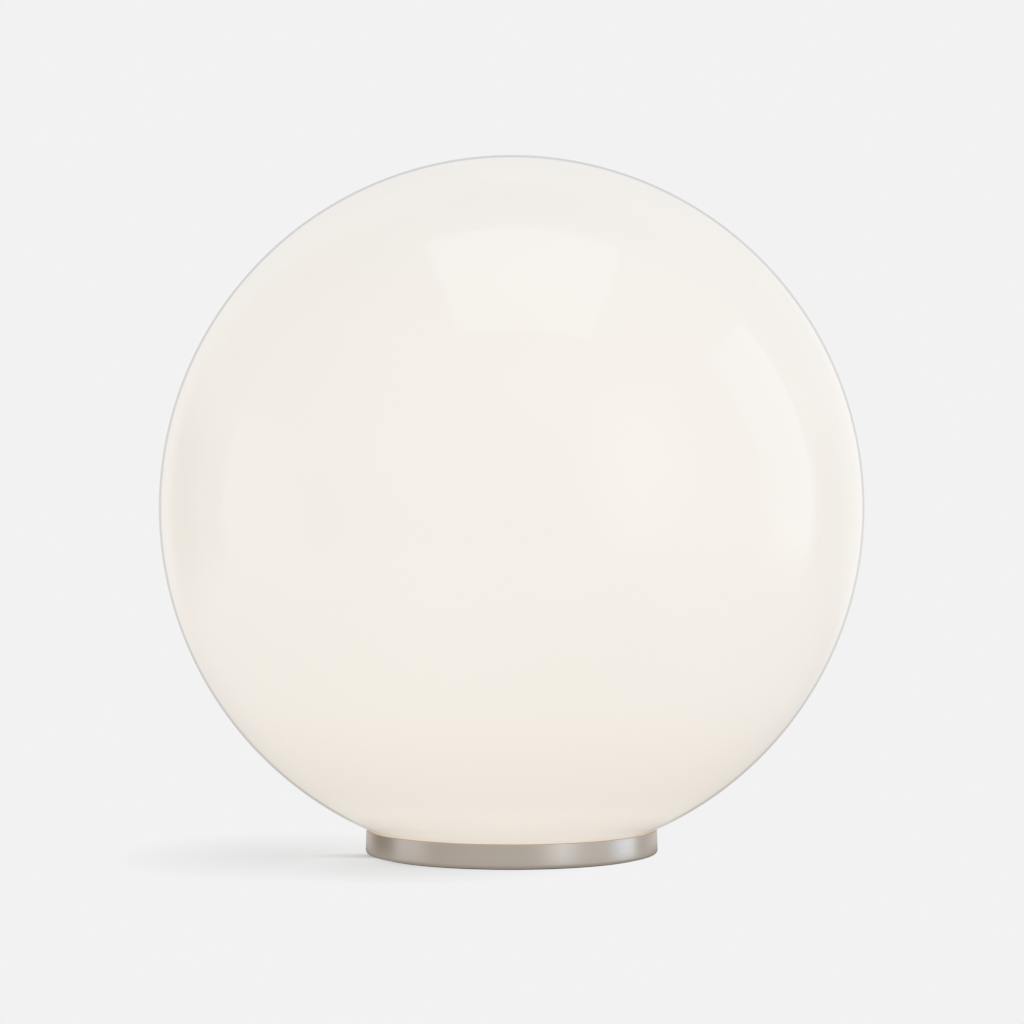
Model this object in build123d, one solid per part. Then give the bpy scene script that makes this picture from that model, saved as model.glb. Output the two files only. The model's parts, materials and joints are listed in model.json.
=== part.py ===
from build123d import *
import os
from math import asin, cos, sin, sqrt

# Sphere floor light. A blown opal glass globe sits in a brushed nickel base ring
# around a cast iron ballast. A pressed steel gallery on the ballast carries the
# lampholder, and three leaf springs inside the mouth hold the globe down.
# Millimetres, +Z up, origin on the floor at the centre of the base. The front
# faces -Y and the cord inlet is at the back, on +Y.

# Globe
GLOBE_DIAMETER = 400.0
GLOBE_WALL = 3.0
MOUTH_INSET = 6.0  # edge of the mouth, inward from the gasket
MOUTH_ROUND = 1.1  # fire-polished edge
# Base ring, spun from sheet with its bottom turned in
RING_DIAMETER = 166.4
RING_HEIGHT = 13.6
RING_WALL = 1.5
RING_DRAFT = 0.4  # of the wall, inward at its top
RING_CORNER = 2.0
RING_TOP_ROUND = 0.3
RING_FLANGE = 14.5
# Foot ring
FOOT_HEIGHT = 0.8
FOOT_COVER = 0.6  # past the heads of the ring's screws
# Globe gasket
GASKET_WIDTH = 9.7
GASKET_THICKNESS = 2.2
GASKET_LIP = 0.25  # thickness of the lip between ring and glass
# Ballast, a cast ring with a slot for the cord
GROOVE_DEPTH = 2.5  # below the edge of the mouth
PEDESTAL_RISE = 3.1
BALLAST_LEDGE = 5.0  # inward from the gallery's drum
# Gallery, a drum with a flange, pressed from sheet
GALLERY_SHEET = 1.2
DRUM_RISE = 15.1
DRUM_ROUND = 2.0
ROOF_ROUND = 4.0
# Leaf spring clips
CLIP_COUNT = 3
CLIP_THICKNESS = 0.5
CLIP_WIDTH = 10.0
CLIP_HEIGHT = 23.5
CLIP_NOSE_HEIGHT = 9.5
CLIP_REACH = 5.5  # of the nose past the edge of the mouth
CLIP_BEND = 1.5
CLIP_NOSE_ROUND = 2.0
CLIP_SETBACK = 1.5  # of the upright from the pedestal's edge
SLEEVE_WALL = 0.8
# Small screws
SCREW_RADIUS = 1.5
SCREW_HEAD_RADIUS = 2.75
SCREW_LENGTH = 6.0
# Cord inlet
INLET_BORE = 6.2
INLET_WALL = 0.7
INLET_FLANGE = 1.5
INLET_LIP = 1.1  # of the outer flange
INLET_CATCH = 0.5  # of the inner flange
INLET_CATCH_DEPTH = 1.2
# Threaded nipple that carries the lampholder
NIPPLE_RADIUS = 5.0
NIPPLE_BORE = 7.4
NUT_ACROSS_FLATS = 14.0
NUT_HEIGHT = 3.0
WASHER_THICKNESS = 1.0
# Terminal block and leads
BLOCK_LENGTH = 15.0
BLOCK_WIDTH = 22.0
BLOCK_HEIGHT = 11.5
BLOCK_PITCH = 11.0
BLOCK_INSET = 19.0  # of its middle from the ballast's bore
BLOCK_RECESS = 3.0  # for the head of its screw
CLAMP_SCREW_RADIUS = 1.3
LEAD_DIAMETER = 2.2
LEAD_SPREAD = 1.7  # of each lead from the axis, in the nipple
# Lampholder for an E27 cap
HOLDER_ROOM = 3.4  # between screw shell and skirt
HOLDER_STEP = 1.2
HOLDER_WALL = 1.4
HOLDER_CAP_HEIGHT = 21.0
SKIRT_GAP = 0.8  # from the skirt to the bulb's body
INSERT_HEIGHT = 6.5
SHELL_RADIUS = 13.6
SHELL_WALL = 0.4
SHELL_HEIGHT = 22.0
# Bulb, A60 with an E27 cap
BULB_DIAMETER = 60.0
BULB_LENGTH = 108.0
BULB_WALL = 1.3
THREAD_CREST = 13.2
THREAD_ROOT = 12.3
THREAD_PITCH = 3.629
THREAD_TURNS = 4
CAP_LENGTH = 26.0
CAP_SHELL = 20.5
DOME_SKIRT = 20.0  # of the dome below its widest point
LED_COUNT = 12
# Clearances
GLASS_GAP = 0.3  # glass to anything it rests on
RING_FIT = 0.3  # casting and plate in the ring
FIT = 0.05  # small pieces in their holes
CONTACT_GAP = 0.3  # bulb to the sprung contact
PEDESTAL_GAP = 1.5  # pedestal inside the mouth

# Heights and radii that follow from the driving dimensions
globe_r = GLOBE_DIAMETER / 2
globe_in_r = globe_r - GLOBE_WALL
ring_r = RING_DIAMETER / 2
ring_in_r = ring_r - RING_WALL
casting_r = ring_in_r - RING_FIT
gasket_in_r = casting_r - GASKET_WIDTH
mouth_r = gasket_in_r - MOUTH_INSET
mouth_angle = asin(mouth_r / globe_r)
mouth_in_r = globe_in_r * sin(mouth_angle)
ring_z = FOOT_HEIGHT
ring_top_z = ring_z + RING_HEIGHT
ring_top_r = ring_r - RING_DRAFT
flange_top_z = ring_z + RING_WALL
flange_in_r = ring_r - RING_FLANGE
gasket_sphere_r = globe_r + GLASS_GAP
lip_sphere_r = gasket_sphere_r + GASKET_LIP
ring_sphere_r = lip_sphere_r + FIT
globe_z = ring_top_z + sqrt(ring_sphere_r**2 - ring_top_r**2)
mouth_z = globe_z - globe_r * cos(mouth_angle)


def sphere_z(r, sphere_r):
    """Height of the underside of a sphere about the globe's centre."""
    return globe_z - sqrt(sphere_r**2 - r**2)


ring_in_top_z = sphere_z(ring_in_r, ring_sphere_r)
lip_r = ring_top_r - RING_TOP_ROUND
lip_z = sphere_z(lip_r, gasket_sphere_r)
gasket_in_z = sphere_z(gasket_in_r, gasket_sphere_r)
seat_slope = (lip_z - gasket_in_z) / (lip_r - gasket_in_r)
seat_in_z = gasket_in_z - GASKET_THICKNESS
seat_out_z = seat_in_z + seat_slope * GASKET_WIDTH
groove_z = mouth_z - GROOVE_DEPTH
pedestal_r = mouth_in_r - PEDESTAL_GAP
pedestal_z = groove_z + PEDESTAL_RISE
land_z = pedestal_z + GALLERY_SHEET
clip_leg_r = pedestal_r - CLIP_SETBACK
clip_screw_r = clip_leg_r - CLIP_BEND - CLIP_THICKNESS / 2 - SCREW_HEAD_RADIUS - 0.2
clip_foot_r = clip_screw_r - SCREW_HEAD_RADIUS - 0.4
drum_r = clip_foot_r - DRUM_ROUND - 0.2
roof_z = land_z + DRUM_RISE
chamber_r = drum_r - BALLAST_LEDGE
chamber_z = roof_z - GALLERY_SHEET
ring_screw_r = (flange_in_r + ring_r - RING_CORNER) / 2
plate_screw_r = (chamber_r + flange_in_r) / 2
bush_r = INLET_BORE / 2 + INLET_WALL
catch_r = bush_r + INLET_CATCH
catch_y = sqrt(ring_in_r**2 - catch_r**2) - FIT
catch_in_y = catch_y - INLET_CATCH_DEPTH
catch_top_z = seat_in_z + seat_slope * (catch_in_y - gasket_in_r) - 2 * FIT
inlet_z = catch_top_z - catch_r
insert_z = roof_z + HOLDER_CAP_HEIGHT - INSERT_HEIGHT + 1.0
insert_top_z = insert_z + INSERT_HEIGHT
contact_z = insert_top_z + 2.5
bulb_z = contact_z + CONTACT_GAP
neck_z = bulb_z + CAP_LENGTH
block_y = chamber_r - BLOCK_INSET

# Angles around the axis, in degrees, the cord inlet being at 90
CLIP_ANGLES = [30 + 360 / CLIP_COUNT * i for i in range(CLIP_COUNT)]
SCREW_ANGLES = [45, 135, 225, 315]


def turned(points, rounds=None):
    """A solid of revolution from (radius, height) points, each corner with its round."""
    if rounds is None:
        rounds = [0] * len(points)
    outline = FilletPolyline(*points, radius=rounds, close=True)
    return revolve(Plane.XZ * make_face(outline), Axis.Z)


def rod(radius, bottom_z, top_z, x=0.0, y=0.0):
    """An upright cylinder between two heights."""
    height = top_z - bottom_z
    return Pos(x, y, (bottom_z + top_z) / 2) * Cylinder(radius, height)


def tube(outer_r, inner_r, bottom_z, top_z, x=0.0, y=0.0):
    """An upright tube between two heights."""
    return rod(outer_r, bottom_z, top_z, x, y) - rod(inner_r, bottom_z - 1, top_z + 1, x, y)


def around(piece, angles):
    """Copies of a piece turned about the axis."""
    return [Rot(0, 0, angle) * piece for angle in angles]


def cut(piece, tools):
    """A piece with every tool taken away from it."""
    for tool in tools:
        piece = piece - tool
    return piece


def strip(points, radii, thickness, width):
    """A bent strip along a path of (x, z) points, its width across the path."""
    path = FilletPolyline(*[(x, 0, z) for x, z in points], radius=radii)
    start = Plane(origin=path @ 0, x_dir=(0, 1, 0), z_dir=path % 0)
    return sweep(start * Rectangle(width, thickness), path=path)


def countersunk(x, bottom_z, grow=0.0):
    """A countersunk screw driven upward at x, its head flush at the bottom."""
    shank_r = SCREW_RADIUS + grow
    head_r = SCREW_HEAD_RADIUS + grow
    points = [
        (0, bottom_z),
        (head_r, bottom_z),
        (shank_r, bottom_z + head_r - shank_r),
        (shank_r, bottom_z + SCREW_LENGTH + grow),
        (0, bottom_z + SCREW_LENGTH + grow),
    ]
    return Pos(x, 0, 0) * turned(points)


def cross_recess(x, z):
    """The cross cut in a screw's head."""
    arm = SCREW_HEAD_RADIUS * 1.1
    slot = Box(arm, 0.6, 1.4) + Box(0.6, arm, 1.4)
    return Pos(x, 0, z) * slot


def pan_screw(x, under_head_z, length, down=True):
    """A pan-head screw with a cross recess, driven downward or upward."""
    head_height = SCREW_RADIUS * 1.2
    points = [
        (0, head_height),
        (SCREW_HEAD_RADIUS, head_height),
        (SCREW_HEAD_RADIUS, 0),
        (SCREW_RADIUS, 0),
        (SCREW_RADIUS, -length),
        (0, -length),
    ]
    screw = turned(points, [0, head_height * 0.7, 0, 0, 0.3, 0]) - cross_recess(0, head_height)
    if not down:
        screw = Rot(180, 0, 0) * screw
    return Pos(x, 0, under_head_z) * screw


def make_globe():
    outer_edge = (mouth_r, mouth_z)
    inner_edge = (mouth_in_r, globe_z - globe_in_r * cos(mouth_angle))
    outline = [
        ThreePointArc((0, globe_z + globe_r), (globe_r, globe_z), outer_edge),
        Line(outer_edge, inner_edge),
        ThreePointArc(inner_edge, (globe_in_r, globe_z), (0, globe_z + globe_in_r)),
        Line((0, globe_z + globe_in_r), (0, globe_z + globe_r)),
    ]
    section = make_face(outline)
    lip = section.vertices().sort_by(Axis.Y)[:2]
    return revolve(Plane.XZ * fillet(lip, MOUTH_ROUND), Axis.Z)


def make_base_ring():
    points = [
        (flange_in_r, ring_z),
        (ring_r, ring_z),
        (ring_top_r, ring_top_z),
        (ring_in_r, ring_in_top_z),
        (ring_in_r, flange_top_z),
        (flange_in_r, flange_top_z),
    ]
    inner_corner = RING_CORNER - RING_WALL
    rounds = [0, RING_CORNER, RING_TOP_ROUND, RING_TOP_ROUND, inner_corner, 0]
    screw_holes = around(countersunk(ring_screw_r, ring_z, FIT), SCREW_ANGLES)
    notch = upright_slot(bush_r + FIT, ring_top_z + 1, ring_in_r - 1, ring_r + 1)
    return cut(turned(points, rounds), screw_holes + [notch])


def make_ballast():
    points = [
        (chamber_r, flange_top_z),
        (casting_r, flange_top_z),
        (casting_r, seat_out_z),
        (gasket_in_r, seat_in_z),
        (gasket_in_r, groove_z),
        (pedestal_r, groove_z),
        (pedestal_r, pedestal_z),
        (chamber_r, pedestal_z),
    ]
    rounds = [0, RING_CORNER - RING_WALL + 0.5, 0, 0, 0.8, 1, 0.6, 1]
    holes = around(countersunk(ring_screw_r, ring_z, FIT), SCREW_ANGLES)
    holes += around(countersunk(plate_screw_r, ring_z, FIT), SCREW_ANGLES)
    holes += around(clip_screw_hole(FIT), CLIP_ANGLES)
    slot_width = 2 * (bush_r + INLET_LIP) + 1
    slot_length = casting_r - chamber_r + 4
    slot_y = chamber_r - 2 + slot_length / 2
    slot = Pos(0, slot_y, ring_top_z / 2) * Box(slot_width, slot_length, 2 * ring_top_z)
    return cut(turned(points, rounds), holes + [slot])


def clip_screw_hole(clearance):
    """The hole that a clip's screw goes down, through spring, gallery and ballast."""
    top_z = land_z + 2 * CLIP_THICKNESS
    return rod(SCREW_RADIUS + clearance, top_z - SCREW_LENGTH - 1, top_z, clip_screw_r)


def make_gallery():
    gallery_r = pedestal_r - RING_FIT
    drum_in_r = drum_r - GALLERY_SHEET
    points = [
        (NIPPLE_RADIUS + FIT, roof_z),
        (drum_r, roof_z),
        (drum_r, land_z),
        (gallery_r, land_z),
        (gallery_r, pedestal_z),
        (drum_in_r, pedestal_z),
        (drum_in_r, chamber_z),
        (NIPPLE_RADIUS + FIT, chamber_z),
    ]
    rounds = [0, ROOF_ROUND, DRUM_ROUND, 0.4, 0, DRUM_ROUND + GALLERY_SHEET, ROOF_ROUND - GALLERY_SHEET, 0]
    holes = around(clip_screw_hole(2 * FIT), CLIP_ANGLES)
    holes.append(rod(SCREW_RADIUS + FIT, chamber_z - 1, roof_z + 1, 0, block_y))
    return cut(turned(points, rounds), holes)


def make_base_plate():
    plate = rod(flange_in_r - RING_FIT, ring_z, flange_top_z)
    return cut(plate, around(countersunk(plate_screw_r, ring_z, FIT), SCREW_ANGLES))


def make_flush_screws(radius):
    screw = countersunk(radius, ring_z) - cross_recess(radius, ring_z)
    return Compound(children=around(screw, SCREW_ANGLES))


def make_foot_ring():
    cover = SCREW_HEAD_RADIUS + FOOT_COVER
    return tube(ring_screw_r + cover, ring_screw_r - cover, 0, FOOT_HEIGHT)


def make_globe_gasket():
    middle_r = (gasket_in_r + lip_r) / 2
    middle = (middle_r, sphere_z(middle_r, gasket_sphere_r))
    outline = [
        ThreePointArc((lip_r, lip_z), middle, (gasket_in_r, gasket_in_z)),
        Polyline(
            (gasket_in_r, gasket_in_z),
            (gasket_in_r, seat_in_z),
            (casting_r, seat_out_z),
            (casting_r, sphere_z(casting_r, lip_sphere_r)),
            (lip_r, sphere_z(lip_r, lip_sphere_r)),
            (lip_r, lip_z),
        ),
    ]
    return revolve(Plane.XZ * make_face(outline), Axis.Z)


# Path of the leaf spring, as (radius, height) points
clip_foot_z = land_z + CLIP_THICKNESS / 2
sleeve_half = CLIP_THICKNESS / 2 + FIT + SLEEVE_WALL
clip_tip_r = mouth_in_r + 0.9
clip_tip_z = sphere_z(clip_tip_r, globe_in_r) + (sleeve_half + GLASS_GAP + 0.1) / cos(mouth_angle)
clip_top = (clip_leg_r, land_z + CLIP_HEIGHT)
clip_nose = (mouth_in_r + CLIP_REACH, land_z + CLIP_NOSE_HEIGHT)
clip_tip = (clip_tip_r, clip_tip_z)


def make_globe_clips():
    points = [(clip_foot_r, clip_foot_z), (clip_leg_r, clip_foot_z), clip_top, clip_nose, clip_tip]
    spring = strip(points, [CLIP_BEND, CLIP_BEND, CLIP_NOSE_ROUND], CLIP_THICKNESS, CLIP_WIDTH)
    return Compound(children=around(spring - clip_screw_hole(2 * FIT), CLIP_ANGLES))


def make_clip_sleeves():
    share = 0.55
    start = tuple(a + share * (b - a) for a, b in zip(clip_top, clip_nose))
    points = [start, clip_nose, clip_tip]
    outer = strip(points, [CLIP_NOSE_ROUND], 2 * sleeve_half, CLIP_WIDTH + 2 * (SLEEVE_WALL + FIT))
    inner = strip(points, [CLIP_NOSE_ROUND], CLIP_THICKNESS + 2 * FIT, CLIP_WIDTH + 2 * FIT)
    return Compound(children=around(outer - inner, CLIP_ANGLES))


def make_clip_screws():
    screw = pan_screw(clip_screw_r, land_z + CLIP_THICKNESS, SCREW_LENGTH)
    return Compound(children=around(screw, CLIP_ANGLES))


def upright_slot(radius, top_z, from_y, to_y):
    """A slot shape around the inlet's axis, round below and open at the top."""
    length = to_y - from_y
    middle_y = (from_y + to_y) / 2
    rounded = Pos(0, middle_y, inlet_z) * Rot(90, 0, 0) * Cylinder(radius, length)
    height = top_z - inlet_z
    return rounded + Pos(0, middle_y, inlet_z + height / 2) * Box(2 * radius, length, height)


def make_inlet_bush():
    """A grommet that slides down into the notch, with a flange on each side of the wall."""
    outer_y = ring_r + FIT
    flange = upright_slot(bush_r + INLET_LIP, ring_top_z - 0.2, outer_y, outer_y + INLET_FLANGE)
    flange = fillet(flange.edges().group_by(Axis.Y)[-1], INLET_FLANGE / 3)
    neck = upright_slot(bush_r, ring_in_top_z - 2 * FIT, ring_in_r - FIT, outer_y)
    root = upright_slot(bush_r, catch_top_z, catch_y, ring_in_r)
    catch = upright_slot(catch_r, catch_top_z, catch_in_y, catch_y)
    bore = Pos(0, ring_r, inlet_z) * Rot(90, 0, 0) * Cylinder(INLET_BORE / 2, RING_DIAMETER / 4)
    return flange + neck + root + catch - bore


def make_nipple():
    return tube(NIPPLE_RADIUS, NIPPLE_BORE / 2, nut_z - 0.6, roof_z + 6.0)


washer_z = chamber_z - WASHER_THICKNESS
nut_z = washer_z - NUT_HEIGHT


def make_nipple_nut():
    outline = RegularPolygon(NUT_ACROSS_FLATS / 2, 6, major_radius=False)
    nut = Pos(0, 0, nut_z) * extrude(outline, NUT_HEIGHT)
    return nut - rod(NIPPLE_RADIUS + FIT, nut_z - 1, washer_z + 1)


def make_nipple_washer():
    washer = tube(NUT_ACROSS_FLATS / 2 + 1.2, NIPPLE_RADIUS + FIT, washer_z, chamber_z)
    notch = Pos(NUT_ACROSS_FLATS / 2 + 1.4, 0, washer_z) * Box(2.4, 1.2, 4 * WASHER_THICKNESS)
    return cut(washer, around(notch, [30 * i for i in range(12)]))


block_z = chamber_z - BLOCK_HEIGHT
barrel_z = block_z + BLOCK_HEIGHT * 0.55
barrel_r = 2.4
barrel_length = BLOCK_LENGTH - 4.0
clamp_screw_ys = [block_y - 3.2, block_y + 3.2]
block_xs = [-BLOCK_PITCH / 2, BLOCK_PITCH / 2]


def lying_rod(radius, length, x, y, z):
    """A cylinder along Y."""
    return Pos(x, y, z) * Rot(90, 0, 0) * Cylinder(radius, length)


def make_terminal_block():
    block = Pos(0, block_y, block_z + BLOCK_HEIGHT / 2)
    block *= Box(BLOCK_WIDTH, BLOCK_LENGTH, BLOCK_HEIGHT)
    block = fillet(block.edges().filter_by(Axis.Z), 1.5)
    tools = [rod(SCREW_RADIUS + FIT, block_z - 1, chamber_z + 1, 0, block_y)]
    tools.append(rod(SCREW_HEAD_RADIUS + 0.3, block_z - 1, block_z + BLOCK_RECESS, 0, block_y))
    for x in block_xs:
        tools.append(lying_rod(barrel_r + FIT, BLOCK_LENGTH + 2, x, block_y, barrel_z))
        for y in clamp_screw_ys:
            tools.append(rod(CLAMP_SCREW_RADIUS + 0.3, block_z - 1, barrel_z, x, y))
    return cut(block, tools)


def make_terminal_barrels():
    barrels = []
    for x in block_xs:
        barrel = lying_rod(barrel_r, barrel_length, x, block_y, barrel_z)
        tools = [lying_rod(LEAD_DIAMETER / 2 + 0.1, barrel_length + 2, x, block_y, barrel_z)]
        for y in clamp_screw_ys:
            tools.append(rod(CLAMP_SCREW_RADIUS + FIT, block_z, barrel_z, x, y))
        barrels.append(cut(barrel, tools))
    return Compound(children=barrels)


def make_terminal_screws():
    top_z = barrel_z - LEAD_DIAMETER / 2 - 0.15
    screws = []
    for x in block_xs:
        for y in clamp_screw_ys:
            slot = Pos(x, y, block_z + 0.6) * Box(4, 0.5, 1.4)
            screws.append(rod(CLAMP_SCREW_RADIUS, block_z + 0.6, top_z, x, y) - slot)
    return Compound(children=screws)


def make_block_screw():
    screw = pan_screw(0, block_z + BLOCK_RECESS, roof_z - block_z - BLOCK_RECESS, down=False)
    return Pos(0, block_y, 0) * screw


# The ends of the leads: in the terminal block and under the holder's insert
lead_run_z = nut_z - 6.0
lead_end_x = 9.0
post_height = 5.0


def make_lead(side):
    """One insulated lead from the terminal block, up the nipple, to its holder terminal."""
    start_y = block_y - 2.0
    block_x = side * BLOCK_PITCH / 2
    nipple_x = side * LEAD_SPREAD
    end_x = side * lead_end_x
    points = [
        (block_x, start_y, barrel_z),
        (block_x, block_y - BLOCK_LENGTH / 2 - 3.0, barrel_z),
        (nipple_x, 0, lead_run_z),
        (nipple_x, 0, roof_z + 8.5),
        (end_x, 0, insert_z - post_height - 0.5),
        (end_x, 0, insert_z - 1.5),
    ]
    path = FilletPolyline(*points, radius=[4.0, 5.0, 2.5, 2.0])
    start = Plane(origin=path @ 0, z_dir=path % 0)
    return sweep(start * Circle(LEAD_DIAMETER / 2), path=path)


skirt_in_r = SHELL_RADIUS + SHELL_WALL + HOLDER_ROOM
holder_in_r = skirt_in_r + HOLDER_STEP
holder_r = holder_in_r + HOLDER_WALL
cap_r = holder_in_r - 2 * FIT
skirt_top_z = neck_z - SKIRT_GAP
skirt_mouth_r = SHELL_RADIUS + SHELL_WALL + 1.0


def make_holder_cap():
    rim_z = roof_z + HOLDER_CAP_HEIGHT
    ledge_r = cap_r - HOLDER_WALL
    points = [
        (NIPPLE_RADIUS + FIT, roof_z),
        (NIPPLE_RADIUS + 4, roof_z),
        (NIPPLE_RADIUS + 4, roof_z + 4),
        (cap_r, insert_z - 2),
        (cap_r, rim_z),
        (ledge_r, rim_z),
        (ledge_r, insert_z),
        (ledge_r - 2, insert_z),
        (NIPPLE_RADIUS + 3, roof_z + 6.4),
        (NIPPLE_RADIUS + FIT, roof_z + 6.4),
    ]
    return turned(points, [0, 1, 2, 3, 0.5, 0, 0, 0, 0, 0])


def make_holder_insert():
    insert_r = cap_r - HOLDER_WALL - FIT
    insert = rod(insert_r, insert_z, insert_top_z)
    insert = chamfer(insert.edges().sort_by(Axis.Z)[-1], 0.8)
    tools = []
    for side in (-1, 1):
        tools.append(Pos(side * lead_end_x, 0, insert_z) * Box(6.2, 6.2, 4.0))
    return cut(insert, tools)


def make_holder_terminals():
    """Two brass posts under the insert that take the leads."""
    posts = []
    for side in (-1, 1):
        x = side * lead_end_x
        post = Pos(x, 0, insert_z + 2.0 - post_height / 2) * Box(6, 6, post_height)
        bore = rod(LEAD_DIAMETER / 2 + FIT, insert_z - 10, insert_z, x)
        posts.append(post - bore)
    return Compound(children=posts)


def make_screw_shell():
    outer_r = SHELL_RADIUS + SHELL_WALL
    points = [
        (outer_r, insert_top_z),
        (outer_r, insert_top_z + SHELL_HEIGHT),
        (SHELL_RADIUS, insert_top_z + SHELL_HEIGHT),
        (SHELL_RADIUS, insert_top_z + SHELL_WALL),
        (SHELL_RADIUS - 2.5, insert_top_z + SHELL_WALL),
        (SHELL_RADIUS - 2.5, insert_top_z),
    ]
    return turned(points)


def make_centre_contact():
    low_z = insert_top_z + 0.25
    high_z = contact_z - 0.25
    points = [(-8.5, low_z), (-4.5, low_z), (-1.5, high_z), (3.0, high_z)]
    return strip(points, [1.0, 1.0], 0.5, 5.0)


def make_holder_skirt():
    bottom_z = insert_z - 1.0
    ledge_z = roof_z + HOLDER_CAP_HEIGHT + 2 * FIT
    points = [
        (holder_in_r, bottom_z),
        (holder_r, bottom_z),
        (holder_r, skirt_top_z),
        (skirt_mouth_r, skirt_top_z),
        (skirt_mouth_r, skirt_top_z - HOLDER_WALL),
        (skirt_in_r, skirt_top_z - HOLDER_WALL - 1.5),
        (skirt_in_r, ledge_z),
        (holder_in_r, ledge_z),
    ]
    skirt = turned(points, [0, 0.6, 1.5, 0.4, 0.4, 0.6, 0, 0])
    flute = rod(0.65 * HOLDER_WALL, bottom_z + 2, ledge_z + 1, holder_r)
    return cut(skirt, around(flute, [15 * i for i in range(24)]))


cap_z = neck_z - CAP_SHELL
bulb_r = BULB_DIAMETER / 2
dome_z = bulb_z + BULB_LENGTH - bulb_r
body_top_z = dome_z - DOME_SKIRT
cap_wall = 0.4


def make_bulb_contact():
    points = [(0, bulb_z), (4.75, bulb_z), (4.75, bulb_z + 1.5), (0, bulb_z + 1.5)]
    return turned(points, [0, 1.2, 0, 0])


def make_bulb_insulator():
    points = [
        (0, bulb_z + 1.5),
        (5.2, bulb_z + 1.5),
        (THREAD_ROOT - 1.2, cap_z),
        (THREAD_ROOT - cap_wall - FIT, cap_z),
        (THREAD_ROOT - cap_wall - FIT, cap_z + 1.5),
        (0, cap_z + 1.5),
    ]
    return turned(points)


def make_bulb_cap():
    """The screw cap: a drawn tube with a rolled thread."""
    shell = tube(THREAD_ROOT, THREAD_ROOT - cap_wall, cap_z, neck_z)
    height = THREAD_PITCH * THREAD_TURNS
    path = Pos(0, 0, cap_z + 2.6) * Helix(THREAD_PITCH, height, THREAD_ROOT - 0.25)
    crest = THREAD_CREST - THREAD_ROOT
    start = Plane(origin=path @ 0, x_dir=(1, 0, 0), z_dir=path % 0)
    ridge_outline = Polyline((0, -1.3), (crest + 0.25, -0.4), (crest + 0.25, 0.4), (0, 1.3), close=True)
    ridge = sweep(start * make_face(ridge_outline), path=path, is_frenet=True)
    return shell + ridge


def make_bulb_body():
    neck_r = THREAD_ROOT - cap_wall - FIT
    points = [
        (neck_r, neck_z - 7),
        (neck_r, neck_z),
        (THREAD_ROOT + 1.2, neck_z),
        (THREAD_ROOT + 3.5, neck_z + 4),
        (bulb_r - 3.0, body_top_z - 7),
        (bulb_r - 1.0, body_top_z),
        (bulb_r - 1.0 - BULB_WALL, body_top_z),
        (bulb_r - 4.0 - BULB_WALL, body_top_z - 7),
        (THREAD_ROOT + 1.0, neck_z + 4.2),
        (neck_r - BULB_WALL, neck_z),
        (neck_r - BULB_WALL, neck_z - 7),
    ]
    return turned(points, [0, 0, 0.5, 4, 6, 0, 0, 4, 3, 0, 0])


board_z = body_top_z - 1.6
board_r = bulb_r - 1.0 - BULB_WALL - 0.8


def make_bulb_dome():
    inner_r = bulb_r - BULB_WALL
    rim_r = bulb_r - 1.0
    widen_z = body_top_z + 0.45 * DOME_SKIRT
    half = sqrt(0.5)
    outline = [
        Polyline((rim_r, body_top_z), (bulb_r, widen_z), (bulb_r, dome_z)),
        ThreePointArc(
            (bulb_r, dome_z), (bulb_r * half, dome_z + bulb_r * half), (0, dome_z + bulb_r)
        ),
        Line((0, dome_z + bulb_r), (0, dome_z + inner_r)),
        ThreePointArc(
            (0, dome_z + inner_r), (inner_r * half, dome_z + inner_r * half), (inner_r, dome_z)
        ),
        Polyline(
            (inner_r, dome_z),
            (inner_r, widen_z),
            (rim_r - BULB_WALL, body_top_z),
            (rim_r, body_top_z),
        ),
    ]
    return revolve(Plane.XZ * make_face(outline), Axis.Z)


def make_led_board():
    return rod(board_r, board_z, body_top_z)


def make_led_chips():
    chip = Pos(board_r * 0.72, 0, body_top_z + 0.4) * Box(3.0, 3.0, 0.8)
    return Compound(children=around(chip, [360 / LED_COUNT * i for i in range(LED_COUNT)]))


def make_driver_board():
    """The upright driver board with its capacitor and transformer."""
    bottom_z = neck_z - 5
    middle_z = (neck_z + board_z) / 2
    board = Pos(0, 0, (bottom_z + board_z) / 2) * Box(18, 1.6, board_z - bottom_z)
    capacitor = rod(4, middle_z - 7.2, middle_z + 4.8, 3, 4.4)
    transformer = Pos(-1, -4.7, middle_z - 0.2) * Box(11, 8, 11)
    return board + capacitor + transformer


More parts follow.
